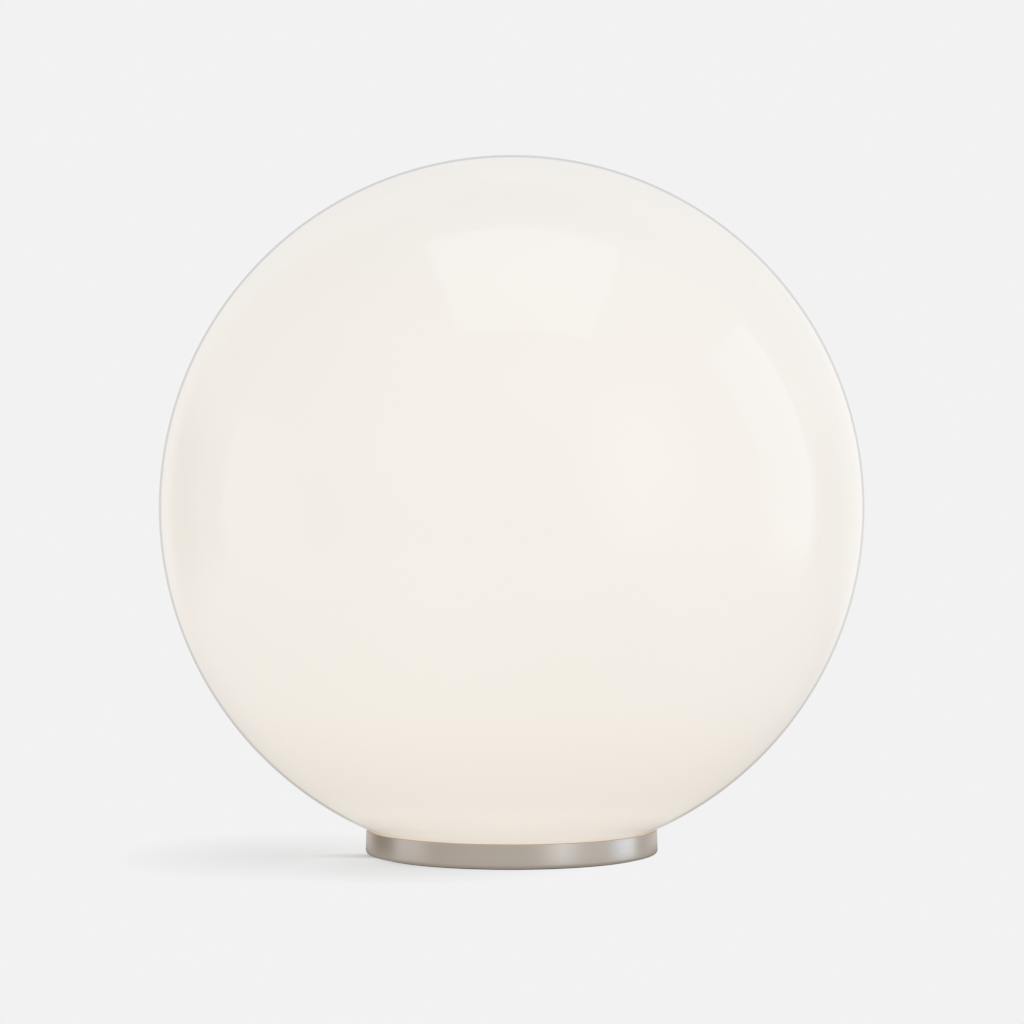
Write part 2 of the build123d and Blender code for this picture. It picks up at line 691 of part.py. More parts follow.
def main():
    os.makedirs("parts", exist_ok=True)
    nodes = {
        "globe": make_globe(),
        "base_ring": make_base_ring(),
        "ballast": make_ballast(),
        "gallery": make_gallery(),
        "base_plate": make_base_plate(),
        "foot_ring": make_foot_ring(),
        "ring_screws": make_flush_screws(ring_screw_r),
        "plate_screws": make_flush_screws(plate_screw_r),
        "globe_gasket": make_globe_gasket(),
        "globe_clips": make_globe_clips(),
        "clip_sleeves": make_clip_sleeves(),
        "clip_screws": make_clip_screws(),
        "inlet_bush": make_inlet_bush(),
        "nipple": make_nipple(),
        "nipple_nut": make_nipple_nut(),
        "nipple_washer": make_nipple_washer(),
        "terminal_block": make_terminal_block(),
        "terminal_barrels": make_terminal_barrels(),
        "terminal_screws": make_terminal_screws(),
        "block_screw": make_block_screw(),
        "live_lead": make_lead(1),
        "neutral_lead": make_lead(-1),
        "holder_cap": make_holder_cap(),
        "holder_insert": make_holder_insert(),
        "holder_terminals": make_holder_terminals(),
        "holder_skirt": make_holder_skirt(),
        "screw_shell": make_screw_shell(),
        "centre_contact": make_centre_contact(),
        "bulb_contact": make_bulb_contact(),
        "bulb_insulator": make_bulb_insulator(),
        "bulb_cap": make_bulb_cap(),
        "bulb_body": make_bulb_body(),
        "driver_board": make_driver_board(),
        "led_board": make_led_board(),
        "led_chips": make_led_chips(),
        "bulb_dome": make_bulb_dome(),
    }
    for name, shape in nodes.items():
        export_step(shape, os.path.join("parts", name + ".step"))


main()
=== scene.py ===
"""Sphere floor light: an opal glass globe on a low brushed nickel base ring.

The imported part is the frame. The pieces that show most are modelled here around it,
every other piece keeps its solid and gets its finish, and a pale studio is put round them.
"""

import json
from math import asin, cos, hypot, pi, radians, sin, sqrt, tan

import bmesh
import bpy
from bpy.props import FloatProperty, FloatVectorProperty, IntProperty, PointerProperty
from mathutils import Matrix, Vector


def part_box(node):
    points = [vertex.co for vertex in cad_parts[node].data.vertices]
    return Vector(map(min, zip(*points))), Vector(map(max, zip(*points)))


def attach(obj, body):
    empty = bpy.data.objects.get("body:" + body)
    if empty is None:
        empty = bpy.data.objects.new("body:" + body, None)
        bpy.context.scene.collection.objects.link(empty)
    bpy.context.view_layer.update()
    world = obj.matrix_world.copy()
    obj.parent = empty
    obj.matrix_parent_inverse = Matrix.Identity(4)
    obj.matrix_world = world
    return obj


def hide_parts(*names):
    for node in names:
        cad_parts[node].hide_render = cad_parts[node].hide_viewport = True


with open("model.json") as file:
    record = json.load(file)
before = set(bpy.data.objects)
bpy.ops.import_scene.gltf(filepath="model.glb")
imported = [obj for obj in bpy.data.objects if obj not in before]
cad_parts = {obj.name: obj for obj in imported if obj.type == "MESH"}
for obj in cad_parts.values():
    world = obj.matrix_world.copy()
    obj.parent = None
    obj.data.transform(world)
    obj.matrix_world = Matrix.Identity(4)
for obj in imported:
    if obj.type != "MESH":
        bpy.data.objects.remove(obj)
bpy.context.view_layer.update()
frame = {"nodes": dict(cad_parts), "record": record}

bl_info = {
    "name": "Sphere Floor Light",
    "version": (1, 0, 0),
    "blender": (4, 5, 0),
    "location": "View3D > Sidebar > Sphere Light",
    "description": "Models an opal glass sphere light on a brushed nickel base ring",
    "category": "Object",
}

MM = 0.001
FULL_TURN = 2 * pi
IMAGE_PIXELS = 1024
SENSOR = 36.0
SMOOTH_ANGLE = radians(30)
MERGE_DISTANCE = 0.002 * MM
ON_LOOP = 0.05 * MM  # how near an edge lies to the loop that it belongs to
GLOBE_SEGMENTS = 160
GLOBE_RINGS = 120
GASKET_STEPS = 160
GASKET_CURVE = 8  # straight parts along its cup
FOOT_STEPS = 128
GROMMET_OVERLAP = 1.05 * MM  # of its flange over the notch on each side
NOTCH_DEPTH = 6 * MM
SCREW_HEAD = 2.75 * MM
SINK_BOTTOM = 3.3 * MM
SINK_TOP = 1.3 * MM
SINK_DEPTH = 2 * MM
SINK_MIDDLE = 0.5 * MM  # above the flange's underside
FLOOR_RADIUS = 12.0
CARD_DISTANCE = 2.5
CAMERA_REACH = 50.0

# Colours of the studio's light
WHITE = (1.0, 1.0, 1.0, 1.0)
COOL = (0.94, 0.99, 1.05, 1.0)
DAYLIGHT = (0.88, 0.98, 1.10, 1.0)
WARM = (1.0, 0.98, 0.95, 1.0)


def top_of(node):
    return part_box(node)[1].z


def bottom_of(node):
    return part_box(node)[0].z


def radius_of(node):
    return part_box(node)[1].x


# Properties: the sizes and colours that a user would change


class GlobeSettings(bpy.types.PropertyGroup):
    radius: FloatProperty(
        name="Radius",
        description="Outer radius of the glass sphere",
        default=0.2,
        subtype="DISTANCE",
        unit="LENGTH",
    )
    wall: FloatProperty(
        name="Wall",
        description="Thickness of the glass",
        default=3.0 * MM,
        subtype="DISTANCE",
        unit="LENGTH",
    )
    mouth_radius: FloatProperty(
        name="Mouth",
        description="Outer radius of the opening at the bottom",
        default=65.7 * MM,
        subtype="DISTANCE",
        unit="LENGTH",
    )
    lip_round: FloatProperty(
        name="Lip",
        description="Round of the fire-polished edge of the mouth",
        default=1.1 * MM,
        subtype="DISTANCE",
        unit="LENGTH",
    )
    glass: FloatVectorProperty(
        name="Glass",
        description="Colour of the opal glass",
        subtype="COLOR",
        size=4,
        default=(0.74, 0.714, 0.672, 1.0),
    )
    glass_deep: FloatVectorProperty(
        name="Glass, denser",
        description="Colour where the opal layer is denser",
        subtype="COLOR",
        size=4,
        default=(0.73, 0.700, 0.655, 1.0),
    )
    glow: FloatVectorProperty(
        name="Glow",
        description="Light that the opal layer gives back from inside",
        subtype="COLOR",
        size=4,
        default=(0.48, 0.456, 0.428, 1.0),
    )
    # Painted shade: the glow is darker and warmer on the underside of the globe.
    glow_painted_shade_below: FloatVectorProperty(
        name="Glow below",
        description="The same light on the underside of the globe",
        subtype="COLOR",
        size=4,
        default=(0.454, 0.42, 0.386, 1.0),
    )
    # Painted light: a brighter, warmer glow near the mouth; the modelled wall keeps one
    # thickness there.
    glow_painted_light_at_mouth: FloatVectorProperty(
        name="Glow at the mouth",
        description="The same light where the glass thickens towards its mouth",
        subtype="COLOR",
        size=4,
        default=(0.535, 0.49, 0.445, 1.0),
    )
    # Painted dark rim: this colour replaces the glass's colour and glow where it is seen edge
    # on.
    painted_rim_shade: FloatVectorProperty(
        name="Casing",
        description="Colour of the clear outer skin of the glass, edge on",
        subtype="COLOR",
        size=4,
        default=(0.17, 0.17, 0.175, 1.0),
    )


class RingSettings(bpy.types.PropertyGroup):
    radius: FloatProperty(
        name="Radius",
        description="Outer radius at the foot of the wall",
        default=83.2 * MM,
        subtype="DISTANCE",
        unit="LENGTH",
    )
    height: FloatProperty(
        name="Height",
        description="From the flange to the outer upper edge",
        default=13.6 * MM,
        subtype="DISTANCE",
        unit="LENGTH",
    )
    bevel: FloatProperty(
        name="Bevel",
        description="Drop of the upper face towards the inside, along the glass",
        default=0.5 * MM,
        subtype="DISTANCE",
        unit="LENGTH",
    )
    wall: FloatProperty(
        name="Wall",
        description="Thickness of the spun sheet",
        default=1.5 * MM,
        subtype="DISTANCE",
        unit="LENGTH",
    )
    flange: FloatProperty(
        name="Flange",
        description="Width of the bottom that is turned in",
        default=14.5 * MM,
        subtype="DISTANCE",
        unit="LENGTH",
    )
    corner: FloatProperty(
        name="Corner",
        description="Outer round between wall and flange",
        default=2.0 * MM,
        subtype="DISTANCE",
        unit="LENGTH",
    )
    draft: FloatProperty(
        name="Draft",
        description="Of the wall, inward at its top",
        default=0.4 * MM,
        subtype="DISTANCE",
        unit="LENGTH",
    )
    edge: FloatProperty(
        name="Edge",
        description="Round of the upper edges",
        default=0.3 * MM,
        subtype="DISTANCE",
        unit="LENGTH",
    )
    steps: IntProperty(
        name="Steps",
        description="Faces around the ring",
        default=192,
        min=24,
    )
    nickel: FloatVectorProperty(
        name="Nickel",
        description="Colour of the brushed nickel",
        subtype="COLOR",
        size=4,
        default=(0.79, 0.755, 0.715, 1.0),
    )
    nickel_groove: FloatVectorProperty(
        name="Nickel, grooves",
        description="Colour in the deeper brush marks",
        subtype="COLOR",
        size=4,
        default=(0.70, 0.665, 0.625, 1.0),
    )
    nickel_edge: FloatVectorProperty(
        name="Nickel, edge on",
        description="Tint of the metal's reflections at a glancing angle",
        subtype="COLOR",
        size=4,
        default=(0.72, 0.70, 0.68, 1.0),
    )


class GasketSettings(bpy.types.PropertyGroup):
    width: FloatProperty(
        name="Width",
        description="Of the gasket, from its inner edge to the ring",
        default=9.7 * MM,
        subtype="DISTANCE",
        unit="LENGTH",
    )
    bed: FloatProperty(
        name="Bed",
        description="Thickness of the gasket below the glass",
        default=2.2 * MM,
        subtype="DISTANCE",
        unit="LENGTH",
    )
    lip: FloatProperty(
        name="Lip",
        description="Thickness of the lip that shows between ring and glass",
        default=0.25 * MM,
        subtype="DISTANCE",
        unit="LENGTH",
    )
    room: FloatProperty(
        name="Room",
        description="Between the gasket and the glass",
        default=0.3 * MM,
        subtype="DISTANCE",
        unit="LENGTH",
    )


class FootSettings(bpy.types.PropertyGroup):
    width: FloatProperty(
        name="Width",
        description="Of the foam ring",
        default=6.7 * MM,
        subtype="DISTANCE",
        unit="LENGTH",
    )
    edge: FloatProperty(
        name="Edge",
        description="Round of the edges on the floor",
        default=0.2 * MM,
        subtype="DISTANCE",
        unit="LENGTH",
    )


class StudioSettings(bpy.types.PropertyGroup):
    distance: FloatProperty(
        name="Distance",
        description="From the camera to the globe's centre",
        default=2.4,
        subtype="DISTANCE",
        unit="LENGTH",
    )
    elevation: FloatProperty(
        name="Elevation",
        description="Of the camera above the globe's centre",
        default=radians(1.95),
        subtype="ANGLE",
        unit="ROTATION",
    )
    focal_pixels: FloatProperty(
        name="Focal length",
        description="In pixels of the square picture",
        default=4222.0,
    )
    centre_pixel: FloatVectorProperty(
        name="Centre",
        description="Pixel of the globe's centre in the picture",
        size=2,
        default=(511.7, 507.9),
    )
    backdrop: FloatVectorProperty(
        name="Backdrop",
        description="Colour of floor and background",
        subtype="COLOR",
        size=4,
        default=(0.888, 0.888, 0.888, 1.0),
    )
    fill: FloatProperty(
        name="Fill",
        description="Even light from the sides",
        default=0.62,
    )
    fill_above: FloatProperty(
        name="Fill above",
        description="Even light from straight above",
        default=0.20,
    )


class LightSettings(bpy.types.PropertyGroup):
    globe: PointerProperty(type=GlobeSettings)
    ring: PointerProperty(type=RingSettings)
    gasket: PointerProperty(type=GasketSettings)
    foot: PointerProperty(type=FootSettings)
    studio: PointerProperty(type=StudioSettings)


# Modelling steps that several pieces share


def rest_selection():
    """Leave edit mode with nothing selected."""
    if bpy.context.mode != "OBJECT":
        bpy.ops.object.mode_set(mode="OBJECT")
    bpy.ops.object.select_all(action="DESELECT")


def take(piece):
    """Make a piece the only selected one."""
    rest_selection()
    piece.select_set(True)
    bpy.context.view_layer.objects.active = piece


def edit(piece, mode="EDGE"):
    """Open a piece in edit mode with nothing selected in it."""
    take(piece)
    bpy.ops.object.mode_set(mode="EDIT")
    bpy.ops.mesh.select_mode(type=mode)
    bpy.ops.mesh.select_all(action="DESELECT")


def named(piece, name):
    piece.name = name
    piece.data.name = name
    return piece


def trace_outline(name, outline):
    """Draw a closed outline of (radius, height) points, extruding one point to the next."""
    rest_selection()
    bpy.ops.mesh.primitive_plane_add(size=MM)
    piece = named(bpy.context.object, name)
    edit(piece, "VERT")
    bpy.ops.mesh.select_all(action="SELECT")
    bpy.ops.mesh.merge(type="CENTER")
    here = (0.0, 0.0)
    for step, point in enumerate([*outline, outline[0]]):
        move = (point[0] - here[0], 0.0, point[1] - here[1])
        if step == 0:
            bpy.ops.transform.translate(value=move)
        else:
            bpy.ops.mesh.extrude_region_move(TRANSFORM_OT_translate={"value": move})
        here = point
    merge_doubles()
    return piece


def merge_doubles():
    bpy.ops.mesh.select_all(action="SELECT")
    bpy.ops.mesh.remove_doubles(threshold=MERGE_DISTANCE)


def spin_round(piece, steps):
    """Spin the outline in edit mode into a closed ring with its faces outward."""
    bpy.ops.mesh.select_all(action="SELECT")
    bpy.ops.mesh.spin(
        steps=steps, angle=FULL_TURN, center=(0, 0, 0), axis=(0, 0, 1), use_auto_merge=True
    )
    merge_doubles()
    bpy.ops.mesh.normals_make_consistent(inside=False)
    rest_selection()
    return piece


def soften_loop(piece, radius, height, offset, segments):
    """Round the edge loop that runs at a radius and height."""
    edit(piece)
    mesh = bmesh.from_edit_mesh(piece.data)
    for edge in mesh.edges:
        ends = [v.co for v in edge.verts]
        on_loop = all(
            abs(hypot(p.x, p.y) - radius) < ON_LOOP and abs(p.z - height) < ON_LOOP
            for p in ends
        )
        if on_loop:
            edge.select_set(True)
    bmesh.update_edit_mesh(piece.data)
    bpy.ops.mesh.bevel(offset=offset, segments=segments, affect="EDGES", clamp_overlap=False)
    rest_selection()


def carve(piece, cutter):
    """Take a cutter's shape out of a piece and remove the cutter."""
    take(piece)
    cutting = piece.modifiers.new("carve", "BOOLEAN")
    cutting.operation = "DIFFERENCE"
    cutting.solver = "EXACT"
    cutting.object = cutter
    bpy.ops.object.modifier_apply(modifier=cutting.name)
    bpy.data.objects.remove(cutter)


def settle(piece, body, cad_node, slot):
    """Finish a piece: place in its mesh, smooth faces, material, body and CAD node."""
    take(piece)
    bpy.ops.object.transform_apply(location=True, rotation=True, scale=True)
    bpy.ops.object.shade_smooth_by_angle(angle=SMOOTH_ANGLE)
    piece.data.materials.clear()
    piece.data.materials.append(finish_of(slot))
    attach(piece, body)
    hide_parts(cad_node)
    rest_selection()


# Shader building blocks


def node(tree, kind, inputs=None, **settings):
    """Add a shader node, with its settings and its input values or links."""
    made = tree.nodes.new(kind)
    for name, value in settings.items():
        setattr(made, name, value)
    for name, value in (inputs or {}).items():
        if isinstance(value, bpy.types.NodeSocket):
            tree.links.new(value, made.inputs[name])
        else:
            made.inputs[name].default_value = value
    return made


def compute(tree, operation, first, second=0.0):
    """One sum on values."""
    return node(tree, "ShaderNodeMath", {0: first, 1: second}, operation=operation).outputs[0]


def layered(tree, mask, first, second):
    """A shader between two, by a mask."""
    inputs = {0: mask, 1: first.outputs[0], 2: second.outputs[0]}
    return node(tree, "ShaderNodeMixShader", inputs)


def seen_by_eye(tree, path):
    """1 for what the camera sees straight or through glass."""
    direct, through = path.outputs["Is Camera Ray"], path.outputs["Is Transmission Ray"]
    return compute(tree, "MAXIMUM", direct, through)


def new_group(name, inputs, outputs):
    """Start a shader node group with float inputs and outputs."""
    tree = bpy.data.node_groups.new(name, "ShaderNodeTree")
    for label, default in inputs.items():
        socket = tree.interface.new_socket(label, in_out="INPUT", socket_type="NodeSocketFloat")
        socket.default_value = default
    for label in outputs:
        tree.interface.new_socket(label, in_out="OUTPUT", socket_type="NodeSocketFloat")
    return tree, tree.nodes.new("NodeGroupInput"), tree.nodes.new("NodeGroupOutput")


def object_place(tree):
    return node(tree, "ShaderNodeTexCoord").outputs["Object"]


def build_brush_marks():
    """Fine marks that run round the axis, as a turning brush leaves them."""
    tree, given, result = new_group(
        "Brush marks", {"Density": 9000.0, "Length": 3.0}, ["Marks", "Bands"]
    )
    axes = node(tree, "ShaderNodeSeparateXYZ", {0: object_place(tree)})
    flat = node(
        tree, "ShaderNodeCombineXYZ", {"X": axes.outputs["X"], "Y": axes.outputs["Y"]}
    ).outputs[0]
    radius = node(tree, "ShaderNodeVectorMath", {0: flat}, operation="LENGTH").outputs["Value"]
    heading = node(tree, "ShaderNodeVectorMath", {0: flat}, operation="NORMALIZE").outputs[0]
    along = node(
        tree,
        "ShaderNodeVectorMath",
        {0: heading, "Scale": given.outputs["Length"]},
        operation="SCALE",
    ).outputs[0]
    split = node(tree, "ShaderNodeSeparateXYZ", {0: along})
    for label, share, detail in (("Marks", 1.0, 2.0), ("Bands", 0.12, 1.0)):
        density = compute(tree, "MULTIPLY", given.outputs["Density"], share)
        height = compute(tree, "MULTIPLY", axes.outputs["Z"], density)
        across = compute(tree, "MULTIPLY", radius, density)
        place = node(
            tree,
            "ShaderNodeCombineXYZ",
            {"X": split.outputs["X"], "Y": split.outputs["Y"], "Z": height},
        ).outputs[0]
        noise = node(
            tree,
            "ShaderNodeTexNoise",
            {"Vector": place, "W": across, "Scale": 1.0, "Detail": detail},
            noise_dimensions="4D",
        )
        tree.links.new(noise.outputs[0], result.inputs[label])
    return tree


def build_clouds():
    """Slow, soft changes over a surface, with finer ones inside them."""
    tree, given, result = new_group("Clouds", {"Scale": 20.0, "Contrast": 2.0}, ["Cloud"])
    noise = node(
        tree,
        "ShaderNodeTexNoise",
        {"Vector": object_place(tree), "Scale": given.outputs["Scale"], "Detail": 4.0},
    ).outputs[0]
    centred = compute(tree, "SUBTRACT", noise, 0.5)
    wide = compute(tree, "MULTIPLY", centred, given.outputs["Contrast"])
    shifted = node(
        tree, "ShaderNodeMath", {0: wide, 1: 0.5}, operation="ADD", use_clamp=True
    ).outputs[0]
    tree.links.new(shifted, result.inputs["Cloud"])
    return tree


def build_grain():
    """The skin of a moulded, cast or sprayed surface: small bumps and rounded pits."""
    tree, given, result = new_group("Grain", {"Scale": 900.0, "Pits": 0.3}, ["Height"])
    place = object_place(tree)
    bumps = node(
        tree,
        "ShaderNodeTexNoise",
        {"Vector": place, "Scale": given.outputs["Scale"], "Detail": 3.0},
    ).outputs[0]
    pits = node(
        tree,
        "ShaderNodeTexVoronoi",
        {"Vector": place, "Scale": given.outputs["Scale"]},
        feature="SMOOTH_F1",
    ).outputs["Distance"]
    mixed = node(
        tree, "ShaderNodeMix", {0: given.outputs["Pits"], 2: bumps, 3: pits}, data_type="FLOAT"
    ).outputs[0]
    tree.links.new(mixed, result.inputs["Height"])
    return tree


GROUPS = {}


def placed(tree, effect, **values):
    """Place a shared effect in a material with its own values."""
    made = node(tree, "ShaderNodeGroup", node_tree=GROUPS[effect])
    for name, value in values.items():
        made.inputs[name].default_value = value
    return made.outputs


def empty_material(name):
    """A new material without nodes."""
    material = bpy.data.materials.new(name)
    material.use_nodes = True
    material.node_tree.nodes.clear()
    return material, material.node_tree


def blank_material(name):
    """A new material with only a shader, linked to its output."""
    material, tree = empty_material(name)
    shader = node(tree, "ShaderNodeBsdfPrincipled")
    node(tree, "ShaderNodeOutputMaterial", {"Surface": shader.outputs[0]})
    return material, tree, shader


def tint(tree, mask, first, second):
    """A colour between two, by a mask."""
    made = node(tree, "ShaderNodeMix", {0: mask, 6: first, 7: second}, data_type="RGBA")
    return made.outputs[2]


def spread(tree, mask, low, high):
    """A value between two, by a mask."""
    made = node(tree, "ShaderNodeMapRange", {"Value": mask, "To Min": low, "To Max": high})
    return made.outputs[0]


def ease(tree, value, start, end):
    """A mask that rises smoothly from 0 at one value to 1 at another."""
    made = node(
        tree,
        "ShaderNodeMapRange",
        {"Value": value, "From Min": start, "From Max": end},
        interpolation_type="SMOOTHSTEP",
    )
    return made.outputs[0]


def raise_surface(tree, shader, height, depth):
    """Bump the surface of a shader by a height map of some depth."""
    inputs = {"Height": height, "Distance": depth, "Strength": 1.0}
    bump = node(tree, "ShaderNodeBump", inputs)
    tree.links.new(bump.outputs[0], shader.inputs["Normal"])


def opal_glass(settings):
    """Blown opal glass: a milky core that glows a little, cased in clear glass."""
    material, tree, shader = blank_material("opal_glass")
    cloud = placed(tree, "Clouds", Scale=7.0, Contrast=1.6)["Cloud"]
    milk = tint(tree, cloud, settings.glass, settings.glass_deep)
    dim = [share * 0.985 for share in settings.glow[:3]] + [1.0]
    glow = tint(tree, cloud, settings.glow, dim)
    height = node(tree, "ShaderNodeSeparateXYZ", {0: object_place(tree)}).outputs["Z"]
    # Painted shade: the glow darkens towards the underside.
    glow = tint(tree, ease(tree, height, 105 * MM, 45 * MM), glow, settings.glow_painted_shade_below)
    # Painted light: near the mouth the glow turns brighter and warmer.
    glow = tint(tree, ease(tree, height, 44 * MM, 18 * MM), glow, settings.glow_painted_light_at_mouth)
    # Painted dark outline: where the glass is seen edge on, its colour and glow turn to a dark
    # painted rim shade, which fades out above the mouth.
    facing = node(tree, "ShaderNodeLayerWeight").outputs["Facing"]
    cased = ease(tree, height, 14 * MM, 28 * MM)
    edge = compute(tree, "MULTIPLY", ease(tree, facing, 0.86, 0.92), cased)
    tree.links.new(tint(tree, edge, milk, settings.painted_rim_shade), shader.inputs["Base Color"])
    tree.links.new(tint(tree, edge, glow, settings.painted_rim_shade), shader.inputs["Emission Color"])
    shader.inputs["Emission Strength"].default_value = 1.0
    shader.inputs["Roughness"].default_value = 0.6
    shader.inputs["Specular IOR Level"].default_value = 0.0
    smudge = placed(tree, "Clouds", Scale=38.0, Contrast=2.4)["Cloud"]
    tree.links.new(spread(tree, smudge, 0.95, 1.0), shader.inputs["Coat Weight"])
    shader.inputs["Coat Roughness"].default_value = 0.04
    shader.inputs["Coat IOR"].default_value = 1.5
    waves = placed(tree, "Clouds", Scale=4.0, Contrast=1.0)["Cloud"]
    raise_surface(tree, shader, waves, 0.25 * MM)
    return material


def brushed_nickel(settings):
    """Nickel brushed round the ring, so that its highlights stand up as bands."""
    material, tree, shader = blank_material("brushed_nickel")
    brush = placed(tree, "Brush marks", Density=9000.0, Length=3.0)
    colour = tint(tree, brush["Marks"], settings.nickel_groove, settings.nickel)
    tree.links.new(colour, shader.inputs["Base Color"])
    tree.links.new(spread(tree, brush["Bands"], 0.29, 0.35), shader.inputs["Roughness"])
    shader.inputs["Metallic"].default_value = 1.0
    shader.inputs["Specular Tint"].default_value = settings.nickel_edge
    shader.inputs["Anisotropic"].default_value = 0.7
    shader.inputs["Anisotropic Rotation"].default_value = 0.25
    tangent = node(tree, "ShaderNodeTangent", direction_type="RADIAL", axis="Z")
    tree.links.new(tangent.outputs[0], shader.inputs["Tangent"])
    raise_surface(tree, shader, brush["Marks"], 0.004 * MM)
    return material


# Every other finish: two tones and the scale of the clouds between them, roughness
# from low to high, grain as scale, share of pits and depth, and the shader's constants.
FINISHES = {
    "cast_grey": dict(
        tones=((0.20, 0.20, 0.21), (0.29, 0.29, 0.30)),
        clouds=90,
        rough=(0.55, 0.75),
        grain=(700, 0.5, 0.25),
        shader={"Metallic": 0.55},
    ),
    "white_enamel": dict(
        tones=((0.80, 0.79, 0.76), (0.84, 0.83, 0.80)),
        clouds=45,
        rough=(0.28, 0.36),
        grain=(420, 0.2, 0.05),
        shader={"Coat Weight": 0.25},
    ),
    "zinc_steel": dict(
        tones=((0.60, 0.61, 0.63), (0.70, 0.69, 0.66)),
        clouds=160,
        rough=(0.26, 0.42),
        grain=(1600, 0.3, 0.02),
        shader={"Metallic": 1.0},
    ),
    "foot_foam": dict(
        tones=((0.030, 0.030, 0.032), (0.050, 0.049, 0.048)),
        clouds=300,
        rough=(0.86, 0.96),
        grain=(1400, 0.9, 0.25),
        shader={"Specular IOR Level": 0.3},
    ),
    "tan_silicone": dict(
        tones=((0.68, 0.55, 0.42), (0.73, 0.60, 0.46)),
        clouds=70,
        rough=(0.50, 0.62),
        grain=(2400, 0.1, 0.02),
        shader={},
    ),
    "spring_steel": dict(
        tones=((0.62, 0.61, 0.59), (0.72, 0.71, 0.69)),
        clouds=140,
        rough=(0.22, 0.34),
        grain=(2600, 0.0, 0.012),
        shader={"Metallic": 1.0, "Anisotropic": 0.4},
    ),
    "clear_silicone": dict(
        tones=((0.80, 0.80, 0.76), (0.86, 0.86, 0.82)),
        clouds=120,
        rough=(0.34, 0.46),
        grain=(1500, 0.1, 0.02),
        shader={"IOR": 1.41},
    ),
    "black_nylon": dict(
        tones=((0.026, 0.026, 0.028), (0.036, 0.036, 0.037)),
        clouds=150,
        rough=(0.42, 0.56),
        grain=(2200, 0.3, 0.03),
        shader={},
    ),
    "white_nylon": dict(
        tones=((0.79, 0.79, 0.73), (0.85, 0.85, 0.80)),
        clouds=120,
        rough=(0.36, 0.50),
        grain=(1800, 0.2, 0.02),
        shader={},
    ),
    "brass": dict(
        tones=((0.66, 0.47, 0.20), (0.78, 0.60, 0.30)),
        clouds=240,
        rough=(0.24, 0.40),
        grain=(2600, 0.0, 0.015),
        shader={"Metallic": 1.0},
    ),
    "brown_sleeve": dict(
        tones=((0.16, 0.065, 0.030), (0.20, 0.085, 0.040)),
        clouds=200,
        rough=(0.36, 0.48),
        grain=(1500, 0.0, 0.02),
        shader={},
    ),
    "blue_sleeve": dict(
        tones=((0.035, 0.14, 0.40), (0.05, 0.18, 0.48)),
        clouds=200,
        rough=(0.36, 0.48),
        grain=(1500, 0.0, 0.02),
        shader={},
    ),
    "white_holder": dict(
        tones=((0.79, 0.78, 0.735), (0.84, 0.83, 0.79)),
        clouds=80,
        rough=(0.20, 0.30),
        grain=(1100, 0.1, 0.012),
        shader={"Coat Weight": 0.2},
    ),
    "holder_ceramic": dict(
        tones=((0.72, 0.69, 0.63), (0.82, 0.80, 0.75)),
        clouds=260,
        rough=(0.38, 0.58),
        grain=(1300, 0.5, 0.05),
        shader={},
    ),
    "nickel_shell": dict(
        tones=((0.66, 0.63, 0.58), (0.78, 0.75, 0.70)),
        clouds=180,
        rough=(0.13, 0.24),
        grain=(2000, 0.0, 0.01),
        shader={"Metallic": 1.0},
    ),
    "bulb_opal": dict(
        tones=((0.83, 0.81, 0.765), (0.86, 0.84, 0.80)),
        clouds=40,
        rough=(0.34, 0.42),
        grain=(2400, 0.1, 0.015),
        shader={"Emission Color": (0.42, 0.39, 0.34, 1.0), "Emission Strength": 1.0},
    ),
    "bulb_white": dict(
        tones=((0.82, 0.82, 0.80), (0.86, 0.86, 0.84)),
        clouds=60,
        rough=(0.26, 0.36),
        grain=(1500, 0.2, 0.02),
        shader={},
    ),
    "black_glass": dict(
        tones=((0.012, 0.012, 0.015), (0.022, 0.021, 0.026)),
        clouds=220,
        rough=(0.06, 0.14),
        grain=(500, 0.0, 0.04),
        shader={},
    ),
    "solder": dict(
        tones=((0.54, 0.54, 0.52), (0.68, 0.68, 0.66)),
        clouds=420,
        rough=(0.32, 0.52),
        grain=(1200, 0.4, 0.08),
        shader={"Metallic": 1.0},
    ),
    "board_green": dict(
        tones=((0.030, 0.15, 0.065), (0.055, 0.23, 0.105)),
        clouds=500,
        rough=(0.30, 0.42),
        grain=(1600, 0.2, 0.02),
        shader={},
    ),
    "board_white": dict(
        tones=((0.80, 0.80, 0.78), (0.86, 0.86, 0.85)),
        clouds=200,
        rough=(0.34, 0.44),
        grain=(1600, 0.2, 0.02),
        shader={},
    ),
    "led_phosphor": dict(
        tones=((0.86, 0.62, 0.14), (0.92, 0.74, 0.24)),
        clouds=900,
        rough=(0.40, 0.55),
        grain=(2600, 0.3, 0.02),
        shader={},
    ),
}


def plain_finish(name):
    """A finish from the table: clouded tones, uneven gloss and a fine grain."""
    look = FINISHES[name]
    material, tree, shader = blank_material(name)
    cloud = placed(tree, "Clouds", Scale=look["clouds"], Contrast=2.0)["Cloud"]
    first, second = [(*tone, 1.0) for tone in look["tones"]]
    tree.links.new(tint(tree, cloud, first, second), shader.inputs["Base Color"])
    tree.links.new(spread(tree, cloud, *look["rough"]), shader.inputs["Roughness"])
    scale, pits, depth = look["grain"]
    grain = placed(tree, "Grain", Scale=scale, Pits=pits)["Height"]
    raise_surface(tree, shader, grain, depth * MM)
    for socket, value in look["shader"].items():
        shader.inputs[socket].default_value = value
    return material


def finish_of(name):
    """The finish with that name, built the first time that it is asked for."""
    found = bpy.data.materials.get(name)
    if found is not None and found.get("sphere_light"):
        return found
    settings = bpy.context.scene.sphere_light
    if name == "opal_glass":
        made = opal_glass(settings.globe)
    elif name == "brushed_nickel":
        made = brushed_nickel(settings.ring)
    else:
        made = plain_finish(name)
    made["sphere_light"] = True
    return made


